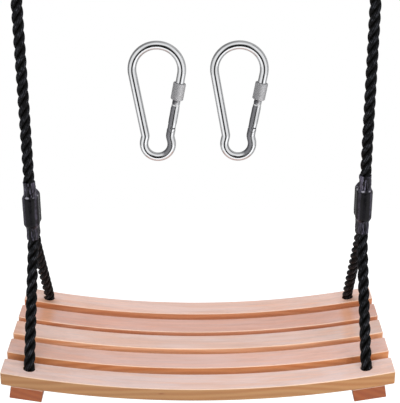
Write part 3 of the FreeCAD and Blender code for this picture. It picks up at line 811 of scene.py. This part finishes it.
def film_rows(heights, middles, foot, way, points, strands):
    """The smooth film's reach all round it, at each height above its foot."""
    rows = []
    for height, middle in zip(heights, middles):
        z = foot + way * height
        discs = []
        for index in np.nonzero((points[:-1, 2] - z) * (points[1:, 2] - z) <= 0)[0]:
            discs += [(*strand[index, :2], STRAND_RADIUS) for strand, _ in strands]
            discs.append((*points[index, :2], FILM_CORE))
        if FERRULE_START <= height <= FERRULE_START + FERRULE_LENGTH:
            discs += [(middle[0], hand * PAIR_SPACING / 2, FERRULE_RADIUS) for hand in HANDS]
        rows.append(film_row(discs, middle))
    return soften(bridged(np.array(rows), FILM_STEP, FILM_SLOPE), FILM_BLURS) + FILM_THICKNESS


def chance(side, bumps, lift):
    """A smooth chance value for a direction from the middle; lift gives another set of values."""
    return noise.noise(side * bumps + Vector((0, 0, lift)))


def film_mesh(name, foot, way, points, strands, x):
    """A film shrunk onto the two ropes' strands and over the ferrule, creased beside it."""
    heights = np.arange(0, FILM_LENGTH + FILM_STEP / 2, FILM_STEP)
    closing = np.clip((heights - FILM_SETTLE) / (FILM_LENGTH - FILM_SETTLE), 0, 1)
    middles = np.stack([np.full(len(heights), x), FILM_SHIFT * closing], axis=1)
    rows = film_rows(heights, middles, foot, way, points, strands)
    verts, drape = [], []
    for height, middle, row in zip(heights, middles, rows):
        off_ferrule = max(FERRULE_START - height, height - FERRULE_START - FERRULE_LENGTH)
        # Painted highlight band over the ferrule's end, broken into spots.
        rim_highlight = max(0, 1 - abs(off_ferrule - FERRULE_RIM) / FERRULE_RIM)
        rim_highlight *= height > FILM_LENGTH / 2
        creasing = min(max(off_ferrule / FILM_FADE, FILM_CALM), 1) * FILM_CREASE
        end = max(0, 1 - height / FILM_END) - max(0, 1 - (FILM_LENGTH - height) / FILM_END)
        for k, reach in enumerate(row):
            turn = 2 * math.pi * k / FILM_SIDES
            side = Vector((math.cos(turn), math.sin(turn), 0))
            lift = height * CREASE_RISE + foot * 9 + x * 9
            out = reach + abs(chance(side, CREASES, lift)) * creasing
            z = foot + way * height + end * chance(side, RAGS, x * 31) * FILM_RAG
            highlight_spots = max(0, chance(side, SPOTS, foot * 50 + way * 7) * RIM_SPOTS)
            verts.append((middle[0] + out * side.x, middle[1] + out * side.y, z))
            loose = min(max(off_ferrule / FILM_FADE, 0), 1)
            drape.append((loose, rim_highlight * highlight_spots, height / FILM_LENGTH))
    mesh = new_mesh(name, verts, bands(len(heights), FILM_SIDES))
    drapes = mesh.attributes.new("drape", "FLOAT_VECTOR", "POINT")
    drapes.data.foreach_set("vector", np.array(drape).ravel())
    return mesh


def make_films(side_name, line, material):
    """The films over the rope's lower and upper ferrules."""
    x = SIDES[side_name] * ROPE_X
    points, _, strands = rope_strands(line, ROPE_TURNS[side_name])
    for level, foot, way in (("lower", FILM_FEET[side_name], 1), ("upper", FILM_EYE, -1)):
        name = f"{level}_film_{side_name}"
        film = new_object(name + "_shrunk", film_mesh(name, foot, way, points, strands, x))
        shell = film.modifiers.new("thickness", "SOLIDIFY")
        shell.thickness = FILM_THICKNESS
        shell.offset = -way
        finish_piece(film, name, "swing", material)


# Nuts and gates
# Each is made in its gate's own frame, which has Z along the gate and its origin on the hinge pin.
HOOK_X = {"left": -42.8 * MM, "right": 46.5 * MM}
HINGE_PIN = Vector((15.093 * MM, 0, -250.942 * MM))  # from the hook's middle
GATE_LEAN = math.radians(10.7)
NUT_FOOT = 32.7 * MM
NUT_LENGTH = 18.6 * MM
NUT_RADIUS = 7 * MM
NUT_CHAMFER = 0.5 * MM
NUT_BORE = 4.56 * MM
NOSE_BORE = 5 * MM
NOSE_DEPTH = 9 * MM
KNURL_RIDGES = 36
KNURL_PITCH = 1.2 * MM
KNURL_DEPTH = 0.09 * MM
KNURL_POWER = 0.6  # below one for narrow grooves
KNURL_STEP = 0.2 * MM
KNURL_SIDES = 216
GATE_RADIUS = 4.75 * MM
GATE_SHOULDER = 22.7 * MM
GATE_TOP = 51.3 * MM
GATE_CHAMFER = 0.4 * MM
GATE_SIDES = 64
FOOT_TURN = math.pi / 30  # between the rings of the gate's round foot
FOOT_RINGS = 13
THREAD_RADIUS = 4.5 * MM
THREAD_START = 26.7 * MM
THREAD_PITCH = 1.1 * MM
GROOVE_END = THREAD_PITCH / 3  # height over each pitch's start at which its groove ends
CREST_START = THREAD_PITCH * 0.8  # and at which its crest starts
GROOVE_RADIUS = 4.05 * MM
GROOVE_SLOPE = 1.2 * MM  # height of the flank down to the thread's first groove
SLOT_HALF = 1.85 * MM
SLOT_TOP = 4.6 * MM
PIN_HOLE = 1.64 * MM
SEAM = 1.1 * MM  # height of the gap across the gate's outer side at its pin
SEAM_LIP = SEAM * 0.6  # half of the same at the gate's surface
SEAM_RADIUS = 3.9 * MM
SEAM_SHARE = -0.15  # cosine of the turn at which it starts
SEAM_INSIDE = SEAM_RADIUS - 0.2 * MM  # between these two radii a face belongs to the gap
SEAM_OUTSIDE = GATE_RADIUS - 0.4 * MM
SPRING_BORE = 2.2 * MM
SPRING_BORE_TOP = 26.4 * MM
BORE_SIDES = 32
WELL_OUTSIDE = 3 * GATE_RADIUS
SQUARE = ((-1, -1), (1, -1), (1, 1), (-1, 1))
BOX_FACES = [(0, 1, 2, 3), (4, 5, 6, 7), (0, 1, 5, 4), (1, 2, 6, 5), (2, 3, 7, 6), (3, 0, 4, 7)]


def gate_frame(side_name):
    place = Vector((HOOK_X[side_name], 0, 0)) + HINGE_PIN
    return Matrix.Translation(place) @ Matrix.Rotation(GATE_LEAN, 4, "Y")


def knurled(turn, height):
    """How deep the knurl is at a place round the nut and along it."""
    round_it, along = KNURL_RIDGES * turn / (2 * math.pi), height / KNURL_PITCH
    off_groove = min(abs(math.sin(math.pi * (round_it + hand * along))) for hand in HANDS)
    return KNURL_DEPTH * (1 - off_groove**KNURL_POWER)


def nut_mesh(name, place):
    """A knurled sleeve with a wider bore at its top, for the hook's nose."""
    step_height = NUT_LENGTH - NOSE_DEPTH
    rows = [(NUT_RADIUS - NUT_CHAMFER, 0, 0)]
    heights = np.arange(NUT_CHAMFER, NUT_LENGTH - NUT_CHAMFER + KNURL_STEP / 2, KNURL_STEP)
    rows += [(NUT_RADIUS, height, 1) for height in heights]
    rows += [(NUT_RADIUS - NUT_CHAMFER, NUT_LENGTH, 0), (NOSE_BORE, NUT_LENGTH, 0)]
    rows += [(NOSE_BORE, step_height, 0), (NUT_BORE, step_height, 0), (NUT_BORE, 0, 0)]
    verts = []
    for radius, height, cut in rows:
        for k in range(KNURL_SIDES):
            turn = 2 * math.pi * k / KNURL_SIDES
            reach = radius - cut * knurled(turn, height)
            corner = (reach * math.cos(turn), reach * math.sin(turn), NUT_FOOT + height)
            verts.append(place @ Vector(corner))
    return new_mesh(name, verts, bands(len(rows), KNURL_SIDES, closed_rows=True))


def gate_rows():
    """Radius and height of the rings of a gate: round foot, seam, shoulder, neck and thread."""
    rows = []
    for ring in range(1, FOOT_RINGS + 1):
        rows.append((GATE_RADIUS, -GATE_RADIUS * math.cos(ring * FOOT_TURN)))
    rows += [(GATE_RADIUS, -SEAM_LIP), (SEAM_RADIUS, -SEAM / 2)]
    rows += [(SEAM_RADIUS, SEAM / 2), (GATE_RADIUS, SEAM_LIP)]
    rows.append((GATE_RADIUS, GATE_SHOULDER - GATE_CHAMFER))
    rows += [(GATE_RADIUS - GATE_CHAMFER / 2, GATE_SHOULDER), (THREAD_RADIUS, GATE_SHOULDER)]
    rows += [(THREAD_RADIUS, THREAD_START - GROOVE_SLOPE), (GROOVE_RADIUS, THREAD_START)]
    for turn in range(int((GATE_TOP - THREAD_START) / THREAD_PITCH)):
        low = THREAD_START + turn * THREAD_PITCH
        rows.append((GROOVE_RADIUS, low + GROOVE_END))
        rows.append((THREAD_RADIUS, low + CREST_START))
    rows.append((GROOVE_RADIUS, GATE_TOP))
    return rows


def gate_bar(name, place):
    """The gate's bar with its thread, and with its seam on the outer side alone."""
    rows = gate_rows()
    verts = []
    for radius, height in rows:
        widest = math.sqrt(GATE_RADIUS**2 - height**2) if height < 0 else GATE_RADIUS
        for k in range(GATE_SIDES):
            turn = 2 * math.pi * k / GATE_SIDES
            inner_side = radius == SEAM_RADIUS and math.cos(turn) < SEAM_SHARE
            reach = GATE_RADIUS if inner_side else radius
            x = max(-widest, min(widest, reach * math.cos(turn)))
            verts.append(place @ Vector((x, reach * math.sin(turn), height)))
    faces = bands(len(rows), GATE_SIDES)
    faces += [tuple(range(GATE_SIDES)), tuple(range(len(verts) - GATE_SIDES, len(verts)))]
    return closed(name, verts, faces)


def gate_piece(name, place):
    """A gate, forked for the hook's tang and bored for its pin and its spring."""
    gate = gate_bar(name, place)
    corners = []
    for z in (-WELL_OUTSIDE, SLOT_TOP):
        corners += [place @ Vector((x * WELL_OUTSIDE, y * SLOT_HALF, z)) for x, y in SQUARE]
    cut_away(gate, closed("slot", corners, BOX_FACES))
    bore = [place @ Vector((0, 0, z)) for z in (SLOT_TOP - GATE_RADIUS, SPRING_BORE_TOP)]
    cut_away(gate, tube("bore", bore, SPRING_BORE, BORE_SIDES))
    pin = [place @ Vector((0, y, 0)) for y in (-WELL_OUTSIDE, WELL_OUTSIDE)]
    cut_away(gate, tube("pin_hole", pin, PIN_HOLE, BORE_SIDES))
    return gate


def paint_gate(gate, place, gap_material, ring_highlight_material):
    """Gives the gap at the hinge and the flank below the thread materials of their own; the flank's
    pale one is a painted highlight.
    """
    gate.data.materials.append(gap_material)
    gate.data.materials.append(ring_highlight_material)
    back = place.inverted()
    for face in gate.data.polygons:
        x, y, z = back @ face.center
        around = math.hypot(x, y)
        if abs(z) < SEAM / 2 and SEAM_INSIDE < around < SEAM_OUTSIDE:
            face.material_index = 1
        elif THREAD_START - GROOVE_SLOPE < z < THREAD_START and around > GROOVE_RADIUS:
            face.material_index = 2


def make_gates_and_nuts(metals):
    for side_name in SIDES:
        place = gate_frame(side_name)
        gate_body, nut_body = f"gate_{side_name}", f"nut_{side_name}"
        gate = gate_piece(gate_body + "_threaded", place)
        finish_piece(gate, f"hook_gate_{side_name}", gate_body, metals["gate_steel"])
        keep_sharp(gate, 35)
        paint_gate(gate, place, metals["gate_gap_steel"], metals["gate_ring_highlight_steel"])
        nut = new_object(nut_body + "_knurled", nut_mesh(nut_body, place))
        finish_piece(nut, f"lock_nut_{side_name}", nut_body, metals["nut_steel"])
        keep_sharp(nut, 50)


# Colours, marks and painted light
# Top colours of the slats, pale with painted sheen over the wood's own colour, and the colours of
# their front faces
SHEENED_TOPS = [(236, 207, 199), (233, 193, 181), (237, 205, 194), (232, 186, 172), (247, 212, 200)]
FRONTS = [(188, 136, 88), (221, 147, 98), (235, 178, 139), (209, 144, 111), (214, 142, 101)]
PAINTED_LIGHT_LEANS = (0.45, 0.5, 0.12, 0.12, 0.2)  # painted light: how much the wood lightens per metre to the right
BATTEN_TOP = (172, 98, 60)
BATTEN_SIDE = (163, 85, 40)
KNOT = (150, 88, 52)
# Colours of the painted shade beside the front-left rope hole and of the ropes' painted shade on
# the slats' tops
SHADED = (112, 70, 46)
ROPE_SHADE = (226, 152, 98)
MARKS_AND_SHADE = {  # place, half size, strength and colour of each; the knot is the wood's own, the other marks are painted shade near the ropes
    "slat_front": [
        ((-40.5 * MM, SEAT_FRONT, -528.5 * MM), (4.6 * MM, 5 * MM, 1.2 * MM), 0.7, KNOT),
        ((-180.2 * MM, -88.5 * MM, -507.6 * MM), (1.6 * MM, 0.7 * MM, 3 * MM), 0.6, SHADED),
    ],
    "slat_rear_middle": [
        ((-186 * MM, 41 * MM, -507 * MM), (12 * MM, 70 * MM, 30 * MM), 0.5, ROPE_SHADE),
        ((183 * MM, 41 * MM, -507 * MM), (10 * MM, 70 * MM, 30 * MM), 0.5, ROPE_SHADE),
    ],
    "slat_middle": [
        ((-214 * MM, 0, -501 * MM), (12 * MM, 50 * MM, 30 * MM), 0.3, ROPE_SHADE),
        ((181 * MM, -4 * MM, -508 * MM), (11 * MM, 50 * MM, 30 * MM), 0.3, ROPE_SHADE),
    ],
    "slat_rear": [
        ((-190 * MM, 77 * MM, -506 * MM), (18 * MM, 9 * MM, 9 * MM), 0.45, ROPE_SHADE),
        ((191 * MM, 76 * MM, -506 * MM), (16 * MM, 8 * MM, 9 * MM), 0.35, ROPE_SHADE),
    ],
}
POLISHED = colour(234, 235, 237)
WAIST = -219 * MM  # height below which a hook's bar takes painted dark reflection
# Colour of the painted dark reflection on the faces of hooks and gates that look left
HOOK_SHADE = (132, 132, 136)
# Colour of the painted shade on the faces of the nuts that look left
NUT_SHADE = (198, 198, 200)
EVERYWHERE = (-1, 0)  # left and top of a part with painted shade that takes in the whole piece
HOOK_MIDDLE = 3 * MM  # from a hook's middle to where its part with painted dark reflection starts
METALS = {  # shade, roughness, bumps per metre and their depth, part with painted shade
    "plain_steel": (colour(186, 187, 190), 0.3, 900, 0.04 * MM),
    "screw_steel": (colour(206, 190, 150), 0.34, 900, 0.04 * MM),
    "aluminium": (colour(196, 198, 202), 0.38, 700, 0.05 * MM),
    "gate_steel": (POLISHED, 0.14, 900, 0.02 * MM, (*EVERYWHERE, HOOK_SHADE)),
    "gate_gap_steel": (colour(34, 34, 36), 0.7, 900, 0.02 * MM),
    # Pale, rough flank below the thread: a painted highlight for the bright ring there
    "gate_ring_highlight_steel": (colour(252, 252, 252), 0.5, 900, 0.02 * MM),
    "nut_steel": (colour(220, 220, 222), 0.62, 1400, 0.01 * MM, (*EVERYWHERE, NUT_SHADE)),
}
for side_name, hook_x in HOOK_X.items():
    hook_shade_part = (hook_x + HOOK_MIDDLE, WAIST, HOOK_SHADE)
    METALS[f"hook_steel_{side_name}"] = (POLISHED, 0.12, 900, 0.02 * MM, hook_shade_part)
NODE_METALS = {
    "batten_screws": "screw_steel",
    "lower_ferrule": "aluminium",
    "upper_ferrule": "aluminium",
    "thimble": "plain_steel",
    "gate_pin": "plain_steel",
    "gate_plunger": "plain_steel",
    "gate_spring": "plain_steel",
}


def slat_woods():
    woods = []
    for index, name in enumerate(SLATS):
        shades = SHEENED_TOPS[index], FRONTS[index]
        marks_and_shade = MARKS_AND_SHADE.get(name, ())
        woods.append(wood(f"{name}_wood", *shades, index + 1, 0, marks_and_shade, PAINTED_LIGHT_LEANS[index]))
    return woods


def paint_nodes(metals):
    """Gives their metals to the CAD nodes that show as they are."""
    for side_name in SIDES:
        paint(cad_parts[f"hook_body_{side_name}"], metals[f"hook_steel_{side_name}"])
        for stem, metal_name in NODE_METALS.items():
            paint(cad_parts[f"{stem}_{side_name}"], metals[metal_name])


# Studio
FLOOR_DROP = 400 * MM  # from the lowest point of the swing down to the floor
FLOOR_CORNERS = [(-1.6, -1.3, 0), (1.6, -1.3, 0), (1.6, 1.4, 0), (-1.6, 1.4, 0)]
FLOOR_SHADE = (0.62, 0.62, 0.62, 1)
FLOOR_GLOW = 0.7  # that makes the floor white to the camera
WHITE = (1, 1, 1, 1)
DIFFUSE_LIGHT = 0.6  # of the world on matt surfaces
SLOT_DIMMING = 0.98  # of the world's dark slot in polished metal
CAMERA_PLACE = (0.0081, -1.1308, 0.1246)
CAMERA_LENS = 96.1
CAMERA_SENSOR = 36
CAMERA_DOWN = 22.33  # degrees
CAMERA_TURN = 0.25
CAMERA_ROLL = -0.28


def floor_material():
    """Pale, white to the camera, keeps the shadows, and turns grey further back in metal."""
    g = new_graph("studio_floor")
    back = g.split(g.place())["Y"]
    mirrored = g.times(g.node("LightPath").outputs["Is Glossy Ray"], g.span(back, -0.7, 0.1, 1, 0))
    seen = g.calc("MAXIMUM", g.seen_plainly(), mirrored)
    return g.finish(
        Base_Color=FLOOR_SHADE,
        Roughness=0.9,
        Emission_Color=WHITE,
        Emission_Strength=g.times(seen, FLOOR_GLOW),
    )


def make_floor():
    mesh = new_mesh("studio_floor", FLOOR_CORNERS, [(0, 1, 2, 3)])
    floor = new_object("studio_floor", mesh)
    floor.location.z = cad_box[0].z - FLOOR_DROP
    floor.data.materials.append(floor_material())


def studio_world():
    """Even white light; polished metal also mirrors a dark upright slot in front of the seat."""
    world = bpy.data.worlds.new("studio")
    bpy.context.scene.world = world
    g = Graph(world)
    g.tree.nodes.clear()
    way = g.split(g.node("TexCoord").outputs["Generated"])
    slot = g.times(
        g.span(g.absolute(way["X"]), 0.22, 0.44, 1, 0),
        g.span(way["Y"], -0.4, -0.2, 1, 0),
    )
    slot = g.times(slot, g.span(g.absolute(g.add(way["Z"], 0.1)), 0.5, 0.7, 1, 0))
    behind = g.less(1.0, g.span(way["Y"], -0.45, 0.05, 1, 0))
    behind = g.times(behind, g.span(way["X"], -0.5, 0.5, 0.74, 0.5))
    mirrored = g.times(g.less(1.0, g.times(slot, SLOT_DIMMING)), g.less(1.0, behind))
    strength = g.span(g.seen_plainly(), 0, 1, DIFFUSE_LIGHT, 1)
    glossy = g.node("LightPath").outputs["Is Glossy Ray"]
    chosen = g.node("Mix", {0: glossy, 2: strength, 3: mirrored}, data_type="FLOAT")
    light = g.node("Background", {"Color": WHITE, "Strength": chosen.outputs[0]})
    g.node("OutputWorld", {"Surface": light.outputs[0]})


def soft_light(name, place, size, power):
    """A round area light that looks at the middle of the seat."""
    light = bpy.data.lights.new(name, "AREA")
    light.shape = "DISK"
    light.size = size
    light.energy = power
    item = new_object(name, light)
    item.location = place
    way = Vector((0, 0, -SEAT_DROP)) - Vector(place)
    item.rotation_euler = way.to_track_quat("-Z", "Y").to_euler()
    item.visible_glossy = False


def photo_camera():
    camera = bpy.data.cameras.new("photo_camera")
    camera.lens = CAMERA_LENS
    camera.sensor_width = CAMERA_SENSOR
    camera.clip_end = 100
    item = new_object("photo_camera", camera)
    turn = Matrix.Rotation(math.radians(CAMERA_TURN), 4, "Z")
    tilt = Matrix.Rotation(math.radians(90 - CAMERA_DOWN), 4, "X")
    roll = Matrix.Rotation(math.radians(CAMERA_ROLL), 4, "Z")
    item.matrix_world = Matrix.Translation(CAMERA_PLACE) @ turn @ tilt @ roll
    bpy.context.scene.camera = item


# Build
rope_material = rope_fibre()
film_material = film_plastic()
rope_lines = []
for side_name in SIDES:
    rope_line = make_rope(side_name, rope_material)
    make_films(side_name, rope_line, film_material)
    rope_lines.append(rope_line)
make_slats(rope_lines, slat_woods())
make_battens(wood("batten_wood", BATTEN_TOP, BATTEN_SIDE, 9, 1))
metals = {name: metal(name, *finish) for name, finish in METALS.items()}
paint_nodes(metals)
make_gates_and_nuts(metals)

make_floor()
studio_world()
soft_light("overhead", (-0.25, -0.5, 1.5), 1.1, 12)
soft_light("front", (1.1, -2.1, 0.4), 1.2, 22)
photo_camera()
bpy.context.scene.view_settings.view_transform = "Standard"
